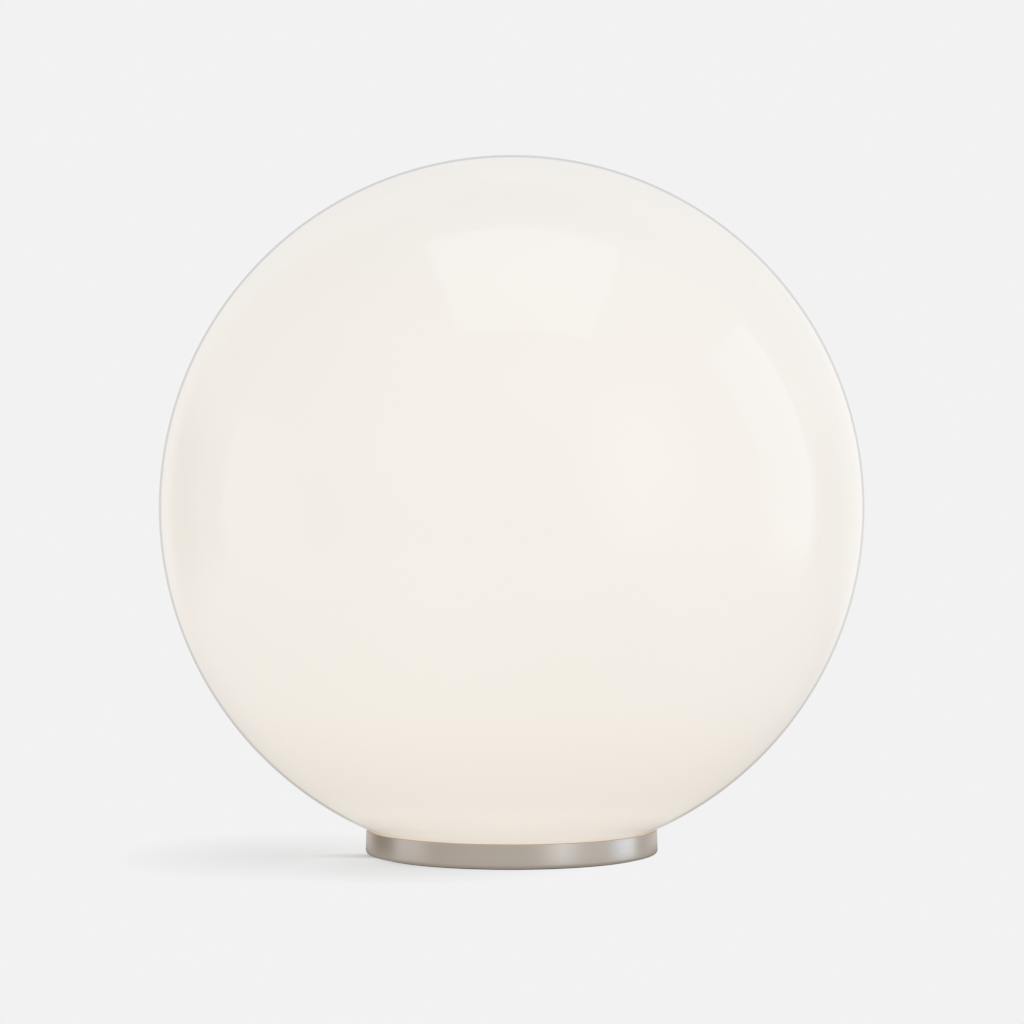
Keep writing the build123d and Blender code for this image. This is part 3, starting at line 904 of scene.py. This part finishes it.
# Operators, one for each piece or group of like pieces


class SPHERE_LIGHT_OT_effects(bpy.types.Operator):
    """Build the shader effects that the finishes share"""

    bl_idname = "sphere_light.effects"
    bl_label = "Shared effects"

    def execute(self, context):
        GROUPS["Brush marks"] = build_brush_marks()
        GROUPS["Clouds"] = build_clouds()
        GROUPS["Grain"] = build_grain()
        return {"FINISHED"}


class SPHERE_LIGHT_OT_globe(bpy.types.Operator):
    """Blow the opal glass globe, open at its mouth"""

    bl_idname = "sphere_light.globe"
    bl_label = "Glass globe"

    def execute(self, context):
        size = context.scene.sphere_light.globe
        centre_z = top_of("globe") - size.radius
        slope = asin(size.mouth_radius / size.radius)
        mouth_z = centre_z - size.radius * cos(slope)
        rest_selection()
        bpy.ops.mesh.primitive_uv_sphere_add(
            segments=GLOBE_SEGMENTS,
            ring_count=GLOBE_RINGS,
            radius=size.radius,
            location=(0, 0, centre_z),
        )
        globe = named(context.object, "glass_globe")
        bpy.ops.object.transform_apply(location=True)
        edit(globe)
        bpy.ops.mesh.select_all(action="SELECT")
        bpy.ops.mesh.bisect(
            plane_co=(0, 0, mouth_z), plane_no=(0, 0, 1), clear_inner=True, use_fill=False
        )
        take(globe)
        glass = globe.modifiers.new("glass", "SOLIDIFY")
        glass.thickness = size.wall
        glass.offset = -1.0
        glass.use_even_offset = True
        bpy.ops.object.modifier_apply(modifier=glass.name)
        inner = size.radius - size.wall
        soften_loop(globe, size.mouth_radius, mouth_z, size.lip_round, 4)
        soften_loop(
            globe, inner * sin(slope), centre_z - inner * cos(slope), size.lip_round, 4
        )
        settle(globe, "globe", "globe", "opal_glass")
        return {"FINISHED"}


class SPHERE_LIGHT_OT_base_ring(bpy.types.Operator):
    """Spin the brushed nickel base ring, with its notch and screw holes"""

    bl_idname = "sphere_light.base_ring"
    bl_label = "Base ring"

    def execute(self, context):
        size = context.scene.sphere_light.ring
        outer = size.radius
        low = bottom_of("base_ring")
        high, high_in = low + size.height, low + size.height - size.bevel
        inner = outer - size.wall
        top_r = outer - size.draft
        flange_r = outer - size.flange
        flange_z = low + size.wall
        outline = [
            (flange_r, low),
            (outer, low),
            (top_r, high),
            (inner, high_in),
            (inner, flange_z),
            (flange_r, flange_z),
        ]
        ring = spin_round(trace_outline("nickel_ring", outline), size.steps)
        soften_loop(ring, outer, low, size.corner, 8)
        soften_loop(ring, inner, flange_z, size.corner - size.wall, 5)
        soften_loop(ring, top_r, high, size.edge, 4)
        soften_loop(ring, inner, high_in, size.edge, 4)
        self.cut_notch(ring, outer, high)
        self.cut_screw_holes(ring, low)
        settle(ring, "base", "base_ring", "brushed_nickel")
        return {"FINISHED"}

    def cut_notch(self, ring, outer, high):
        """The slot for the cord's grommet, round at its bottom and open at the top."""
        bush_low, bush_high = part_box("inlet_bush")
        axis_z = bush_low.z + bush_high.x
        rest_selection()
        bpy.ops.mesh.primitive_cylinder_add(
            vertices=48,
            radius=bush_high.x - GROMMET_OVERLAP,
            depth=NOTCH_DEPTH,
            location=(0, outer, axis_z),
            rotation=(pi / 2, 0, 0),
        )
        cutter = bpy.context.object
        bpy.ops.object.transform_apply(location=True, rotation=True)
        edit(cutter, "VERT")
        mesh = bmesh.from_edit_mesh(cutter.data)
        for vertex in mesh.verts:
            if vertex.co.z > axis_z + 0.01 * MM:
                vertex.select_set(True)
        bmesh.update_edit_mesh(cutter.data)
        bpy.ops.transform.resize(
            value=(1, 1, 0), center_override=(0, outer, high + MM), orient_type="GLOBAL"
        )
        rest_selection()
        carve(ring, cutter)

    def cut_screw_holes(self, ring, low):
        """Countersinks for the four screws through the flange."""
        reach = radius_of("ring_screws") - SCREW_HEAD
        for x_side in (-1, 1):
            for y_side in (-1, 1):
                rest_selection()
                bpy.ops.mesh.primitive_cone_add(
                    vertices=32,
                    radius1=SINK_BOTTOM,
                    radius2=SINK_TOP,
                    depth=SINK_DEPTH,
                    location=(x_side * reach, y_side * reach, low + SINK_MIDDLE),
                )
                cutter = bpy.context.object
                bpy.ops.object.transform_apply(location=True)
                carve(ring, cutter)


class SPHERE_LIGHT_OT_gasket(bpy.types.Operator):
    """Mould the tan silicone gasket that the glass sits on"""

    bl_idname = "sphere_light.gasket"
    bl_label = "Globe gasket"

    def execute(self, context):
        globe = context.scene.sphere_light.globe
        size = context.scene.sphere_light.gasket
        centre_z = top_of("globe") - globe.radius
        cup = globe.radius + size.room
        lip_r = radius_of("globe_gasket")
        wall_r = radius_of("ballast")
        inner = wall_r - size.width

        def under(r, sphere):
            return centre_z - sqrt(sphere**2 - r**2)

        outline = []
        for step in range(GASKET_CURVE + 1):
            r = inner + (lip_r - inner) * step / GASKET_CURVE
            outline.append((r, under(r, cup)))
        slope = (outline[-1][1] - outline[0][1]) / (lip_r - inner)
        low = outline[0][1] - size.bed
        outline += [
            (lip_r, under(lip_r, cup + size.lip)),
            (wall_r, under(wall_r, cup + size.lip)),
            (wall_r, low + slope * size.width),
            (inner, low),
        ]
        gasket = spin_round(trace_outline("tan_gasket", outline), GASKET_STEPS)
        settle(gasket, "base", "globe_gasket", "tan_silicone")
        return {"FINISHED"}


class SPHERE_LIGHT_OT_foot(bpy.types.Operator):
    """Cut the foam ring that the light stands on"""

    bl_idname = "sphere_light.foot"
    bl_label = "Foot ring"

    def execute(self, context):
        size = context.scene.sphere_light.foot
        outer = radius_of("foot_ring")
        inner = outer - size.width
        high = top_of("foot_ring")
        outline = [(inner, 0.0), (outer, 0.0), (outer, high), (inner, high)]
        foot = spin_round(trace_outline("foam_foot", outline), FOOT_STEPS)
        soften_loop(foot, outer, 0.0, size.edge, 3)
        soften_loop(foot, inner, 0.0, size.edge, 3)
        settle(foot, "base", "foot_ring", "foot_foam")
        return {"FINISHED"}


class SPHERE_LIGHT_OT_carried_over(bpy.types.Operator):
    """Give every piece that keeps its solid its finish"""

    bl_idname = "sphere_light.carried_over"
    bl_label = "Carried-over pieces"

    def execute(self, context):
        for entry in frame["record"]["subparts"]:
            solid = frame["nodes"][entry["node"]]
            if solid.hide_render:
                continue
            solid.data.materials.clear()
            solid.data.materials.append(finish_of(entry["material_slot"]))
        return {"FINISHED"}


# What gloss sees of the room at eye level and above it: azimuth in degrees, from the
# front to the right, and colour
ROOM_LEVEL = [
    (-180, (0.89, 0.88, 0.87)),
    (-164, (0.88, 0.86, 0.84)),
    (-150, (0.80, 0.77, 0.74)),
    (-140, (0.48, 0.44, 0.40)),
    (-130, (0.28, 0.23, 0.19)),
    (-110, (0.28, 0.23, 0.19)),
    (-100, (0.68, 0.65, 0.62)),
    (-76, (0.66, 0.62, 0.58)),
    (-64, (0.45, 0.385, 0.33)),
    (-35, (0.52, 0.47, 0.425)),
    (15, (0.55, 0.51, 0.475)),
    (26, (0.60, 0.57, 0.54)),
    (40, (0.97, 0.98, 0.99)),
    (54, (0.64, 0.615, 0.59)),
    (84, (0.63, 0.605, 0.58)),
    (95, (1.14, 1.19, 1.27)),
    (110, (1.14, 1.19, 1.27)),
    (117, (0.53, 0.49, 0.455)),
    (130, (0.58, 0.545, 0.515)),
    (145, (0.83, 0.81, 0.79)),
    (160, (0.98, 0.975, 0.97)),
    (180, (0.89, 0.88, 0.87)),
]
ROOM_UPPER = [
    (-180, (0.89, 0.88, 0.87)),
    (-150, (0.82, 0.80, 0.78)),
    (-125, (0.56, 0.53, 0.50)),
    (0, (0.54, 0.51, 0.48)),
    (125, (0.62, 0.60, 0.58)),
    (150, (0.82, 0.81, 0.80)),
    (180, (0.89, 0.88, 0.87)),
]
ROOM_BELOW = (0.62, 0.59, 0.55, 1.0)
ROOM_ABOVE = (0.54, 0.54, 0.54, 1.0)
# Painted soft shadow on the floor, where the darker lit floor and its real shadow show through:
# centre, reach, strength and squash in depth
PAINTED_SHADOW_GLOBE = ((-0.125, -0.012), 0.105, 0.26, 0.85)
PAINTED_SHADOW_FRONT = ((-0.06, -0.05), 0.105, 0.35, 1.1)
PAINTED_SHADOW_RING = ((-0.07, -0.012), 0.048, 0.55, 3.0)
# The floor as the ring mirrors it: how far round the base it is there, and where a painted
# contact shadow darkens it
MIRRORED_FLOOR = ((0.0, 0.0), 0.13, 4.0, 1.0)
MIRRORED_PAINTED_SHADOW = ((0.0, 0.0), 0.1, 8.0, 1.0)
FLOOR_LIT = (0.60, 0.61, 0.625, 1.0)
FLOOR_BOUNCE = (0.525, 0.510, 0.485, 1.0)
FLOOR_PALE = (0.64, 0.61, 0.57, 1.0)
FLOOR_PAINTED_SHADOW = (0.42, 0.38, 0.34, 1.0)
# The softbox overhead: place, size, radiance, softness of its edge and turn
SOFTBOX = (Vector((0.065, -0.305, 1.2)), (0.77, 0.79), (0.99, 0.99), 0.04, radians(1.8))
# Cards around: azimuths, elevations, radiance from side to side, colour, softness
CARDS = {
    "strip_left": ((-103, -75), (-5, 21), (0.71, 0.65), WHITE, 0.12),
    "strip_right": ((84, 110), (-4, 39), (0.80, 1.20), DAYLIGHT, 0.12),
    "patch_front": ((16, 64), (-12, 44), (1.02, 1.02), WHITE, 1.0),
}
# Soft lamps: place from the globe's centre, size, energy, colour
LAMPS = {
    "key_right": (Vector((1.3, -0.7, 0.55)), 0.9, 0.4, COOL),
    "fill_left": (Vector((-1.6, -0.3, 0.1)), 0.9, 1.1, WARM),
    "back_left": (Vector((-1.4, 1.1, 0.1)), 0.9, 5.0, WARM),
    "back_right": (Vector((1.3, 1.3, 0.1)), 0.9, 6.5, COOL),
    "fill_front": (Vector((-0.2, -1.9, 0.25)), 1.2, 3.0, WARM),
}


class SPHERE_LIGHT_OT_studio(bpy.types.Operator):
    """Set up the pale studio, its lights and the camera"""

    bl_idname = "sphere_light.studio"
    bl_label = "Studio"

    def execute(self, context):
        studio = context.scene.sphere_light.studio
        centre = Vector((0, 0, top_of("globe") - context.scene.sphere_light.globe.radius))
        self.place_camera(context, studio, centre)
        self.build_world(context, studio)
        self.lay_floor(studio)
        self.hang_lights(centre)
        context.scene.view_settings.view_transform = "Standard"
        return {"FINISHED"}

    def place_camera(self, context, studio, centre):
        """Put the globe's centre on its pixel by aiming the camera beside it."""
        rise = studio.elevation
        back = Vector((0, -cos(rise), sin(rise)))
        rest_selection()
        bpy.ops.object.camera_add(location=centre + back * studio.distance)
        camera = context.object
        camera.name = "camera"
        camera.data.sensor_width = SENSOR
        camera.data.lens = studio.focal_pixels * SENSOR / IMAGE_PIXELS
        right = (IMAGE_PIXELS / 2 - studio.centre_pixel[0]) / studio.focal_pixels
        down = (IMAGE_PIXELS / 2 - studio.centre_pixel[1]) / studio.focal_pixels
        up = Vector((0, sin(rise), cos(rise)))
        aim = -back + Vector((right, 0, 0)) - up * down
        camera.rotation_euler = aim.to_track_quat("-Z", "Y").to_euler()
        camera.data.clip_end = CAMERA_REACH
        context.scene.camera = camera

    def build_world(self, context, studio):
        """The pale surround: flat to the eye, with the dim side of the room in gloss."""
        world = bpy.data.worlds.new("studio")
        world.use_nodes = True
        tree = world.node_tree
        tree.nodes.clear()
        path = node(tree, "ShaderNodeLightPath")
        plain = node(tree, "ShaderNodeBackground", {"Color": studio.backdrop})
        room = node(tree, "ShaderNodeBackground", {"Color": self.room_colour(tree)})
        heading = node(tree, "ShaderNodeTexCoord").outputs["Generated"]
        height = node(tree, "ShaderNodeSeparateXYZ", {0: heading}).outputs["Z"]
        evened = spread(tree, height, studio.fill, studio.fill_above)
        fill = node(tree, "ShaderNodeBackground", {"Color": WHITE, "Strength": evened})
        mixed = layered(tree, path.outputs["Is Glossy Ray"], fill, room)
        mixed = layered(tree, seen_by_eye(tree, path), mixed, plain)
        node(tree, "ShaderNodeOutputWorld", {"Surface": mixed.outputs[0]})
        context.scene.world = world

    def room_colour(self, tree):
        """What gloss sees: the backdrop behind and a dim warm room in front."""
        heading = node(tree, "ShaderNodeTexCoord").outputs["Generated"]
        axes = node(tree, "ShaderNodeSeparateXYZ", {0: heading})
        front = compute(tree, "MULTIPLY", axes.outputs["Y"], -1.0)
        angle = compute(tree, "ARCTAN2", axes.outputs["X"], front)
        turn = compute(tree, "ADD", compute(tree, "DIVIDE", angle, FULL_TURN), 0.5)
        rise = axes.outputs["Z"]
        level = self.round_the_room(tree, turn, ROOM_LEVEL)
        upper = self.round_the_room(tree, turn, ROOM_UPPER)
        colour = tint(tree, ease(tree, rise, 0.08, 0.3), level, upper)
        colour = tint(tree, ease(tree, rise, -0.07, -0.30), colour, ROOM_BELOW)
        return tint(tree, ease(tree, rise, 0.66, 0.94), colour, ROOM_ABOVE)

    def round_the_room(self, tree, turn, stops):
        """A ramp of colours by azimuth, in degrees from the front to the right."""
        made = node(tree, "ShaderNodeValToRGB", {0: turn})
        ramp = made.color_ramp
        while len(ramp.elements) < len(stops):
            ramp.elements.new(0.5)
        for element, (azimuth, colour) in zip(ramp.elements, stops):
            element.position = azimuth / 360 + 0.5
            element.color = (*colour, 1.0)
        return made.outputs[0]

    def lay_floor(self, studio):
        """A wide pale floor that shows the lit floor and the light's shadow near the base only
        through painted shadow masks, and is mirrored only there.
        """
        rest_selection()
        bpy.ops.mesh.primitive_circle_add(vertices=96, radius=FLOOR_RADIUS, fill_type="NGON")
        floor = named(bpy.context.object, "floor")
        material, tree = empty_material("floor")
        path = node(tree, "ShaderNodeLightPath")
        lit = node(tree, "ShaderNodeBsdfDiffuse", {"Color": FLOOR_LIT})
        bounce = tint(tree, seen_by_eye(tree, path), FLOOR_BOUNCE, studio.backdrop)
        flat = node(tree, "ShaderNodeEmission", {"Color": bounce})
        # Painted shadow: these masks blend the flat floor into the darker lit floor, which
        # carries the lamps' real shadow.
        painted_globe_shadow = self.near(tree, *PAINTED_SHADOW_GLOBE)
        painted_front_shadow = self.near(tree, *PAINTED_SHADOW_FRONT)
        shade = compute(tree, "MAXIMUM", painted_globe_shadow, painted_front_shadow)
        shade = compute(tree, "ADD", shade, self.near(tree, *PAINTED_SHADOW_RING))
        ground = layered(tree, shade, flat, lit)
        open_room = node(tree, "ShaderNodeBsdfTransparent")
        # Painted contact shadow: right at the ring the mirrored floor is a darker flat colour.
        pale = tint(tree, self.near(tree, *MIRRORED_PAINTED_SHADOW), FLOOR_PALE, FLOOR_PAINTED_SHADOW)
        close = node(tree, "ShaderNodeEmission", {"Color": pale})
        mirrored = layered(tree, self.near(tree, *MIRRORED_FLOOR), open_room, close)
        above = layered(tree, path.outputs["Is Glossy Ray"], ground, mirrored)
        # Clear from below, so that the underside of the light can be seen
        below = node(tree, "ShaderNodeNewGeometry").outputs["Backfacing"]
        surface = layered(tree, below, above, open_room)
        node(tree, "ShaderNodeOutputMaterial", {"Surface": surface.outputs[0]})
        floor.data.materials.append(material)

    def near(self, tree, centre, reach, most, squash):
        """A mask on the floor that rises evenly towards a point, squashed in depth."""
        shift = (-centre[0], -centre[1], 0.0)
        moved = node(
            tree, "ShaderNodeVectorMath", {0: object_place(tree), 1: shift}, operation="ADD"
        ).outputs[0]
        shaped = node(
            tree, "ShaderNodeVectorMath", {0: moved, 1: (1.0, squash, 1.0)}, operation="MULTIPLY"
        ).outputs[0]
        distance = node(tree, "ShaderNodeVectorMath", {0: shaped}, operation="LENGTH")
        rise = node(
            tree,
            "ShaderNodeMapRange",
            {
                "Value": distance.outputs["Value"],
                "From Min": reach,
                "From Max": 0.0,
                "To Max": most,
            },
        ).outputs[0]
        return compute(tree, "MINIMUM", rise, 1.0)

    def hang_lights(self, centre):
        """A softbox overhead, a strip on each side and soft light that gloss doesn't show."""
        place, size, radiances, soft, turn = SOFTBOX
        softbox = self.hang_card("softbox_top", place, size, radiances, COOL, soft)
        softbox.rotation_euler.z = turn
        for name, card in CARDS.items():
            self.hang_card_round(name, centre, *card)
        for name, lamp in LAMPS.items():
            self.hang_lamp(name, centre, *lamp)

    def hang_lamp(self, name, centre, offset, size, energy, colour):
        """A soft lamp that only matt surfaces show."""
        rest_selection()
        bpy.ops.object.light_add(type="AREA", location=centre + offset)
        lamp = bpy.context.object
        lamp.name = name
        lamp.rotation_euler = (-offset).to_track_quat("-Z", "Y").to_euler()
        lamp.data.size = size
        lamp.data.energy = energy
        lamp.data.color = colour[:3]
        lamp.visible_camera = False
        lamp.visible_glossy = False

    def hang_card_round(self, name, centre, azimuths, elevations, radiances, colour, soft):
        """A card that covers a range of angles; azimuth is from the front, to the right."""
        turn = radians(sum(azimuths) / 2)
        rise = radians(sum(elevations) / 2)
        away = Vector((sin(turn) * cos(rise), -cos(turn) * cos(rise), sin(rise)))
        size = [
            2 * CARD_DISTANCE * tan(radians(angles[1] - angles[0]) / 2)
            for angles in (azimuths, elevations)
        ]
        place = centre + away * CARD_DISTANCE
        card = self.hang_card(name, place, size, radiances, colour, soft)
        card.rotation_euler = away.to_track_quat("Z", "Y").to_euler()

    def hang_card(self, name, place, size, radiances, colour, soft):
        """A glowing card that fades out at its edge, over a share of its half size."""
        rest_selection()
        bpy.ops.mesh.primitive_plane_add(size=1.0, location=place)
        card = named(bpy.context.object, name)
        card.scale = (*size, 1.0)
        material, tree = empty_material(name)
        axes = node(tree, "ShaderNodeSeparateXYZ", {0: object_place(tree)})
        share = compute(tree, "ADD", axes.outputs["X"], 0.5)
        strength = spread(tree, share, *radiances)
        glow = node(tree, "ShaderNodeEmission", {"Color": colour, "Strength": strength})
        fades = [
            ease(tree, compute(tree, "ABSOLUTE", axes.outputs[axis]), 0.5, 0.5 * (1 - soft))
            for axis in "XY"
        ]
        clear = node(tree, "ShaderNodeBsdfTransparent")
        surface = layered(tree, compute(tree, "MULTIPLY", *fades), clear, glow)
        node(tree, "ShaderNodeOutputMaterial", {"Surface": surface.outputs[0]})
        card.data.materials.append(material)
        card.visible_camera = False
        card.visible_shadow = False
        card.visible_transmission = False
        return card


class SPHERE_LIGHT_PT_panel(bpy.types.Panel):
    """Lists the pieces and the settings that shape them"""

    bl_idname = "SPHERE_LIGHT_PT_panel"
    bl_label = "Sphere floor light"
    bl_space_type = "VIEW_3D"
    bl_region_type = "UI"
    bl_category = "Sphere Light"

    def draw(self, context):
        settings = context.scene.sphere_light
        for label, group in (
            ("Globe", settings.globe),
            ("Base ring", settings.ring),
            ("Gasket", settings.gasket),
            ("Foot", settings.foot),
            ("Studio", settings.studio),
        ):
            box = self.layout.box()
            box.label(text=label)
            for name in group.__annotations__:
                box.prop(group, name)
        for operator in PIECES:
            self.layout.operator(operator.bl_idname)


PIECES = [
    SPHERE_LIGHT_OT_effects,
    SPHERE_LIGHT_OT_globe,
    SPHERE_LIGHT_OT_base_ring,
    SPHERE_LIGHT_OT_gasket,
    SPHERE_LIGHT_OT_foot,
    SPHERE_LIGHT_OT_carried_over,
    SPHERE_LIGHT_OT_studio,
]
CLASSES = [
    GlobeSettings,
    RingSettings,
    GasketSettings,
    FootSettings,
    StudioSettings,
    LightSettings,
    *PIECES,
    SPHERE_LIGHT_PT_panel,
]


def register():
    for cls in CLASSES:
        bpy.utils.register_class(cls)
    bpy.types.Scene.sphere_light = PointerProperty(type=LightSettings)


def unregister():
    del bpy.types.Scene.sphere_light
    for cls in reversed(CLASSES):
        bpy.utils.unregister_class(cls)


def main():
    register()
    bpy.ops.sphere_light.effects()
    bpy.ops.sphere_light.globe()
    bpy.ops.sphere_light.base_ring()
    bpy.ops.sphere_light.gasket()
    bpy.ops.sphere_light.foot()
    bpy.ops.sphere_light.carried_over()
    bpy.ops.sphere_light.studio()


if __name__ == "__main__":
    main()
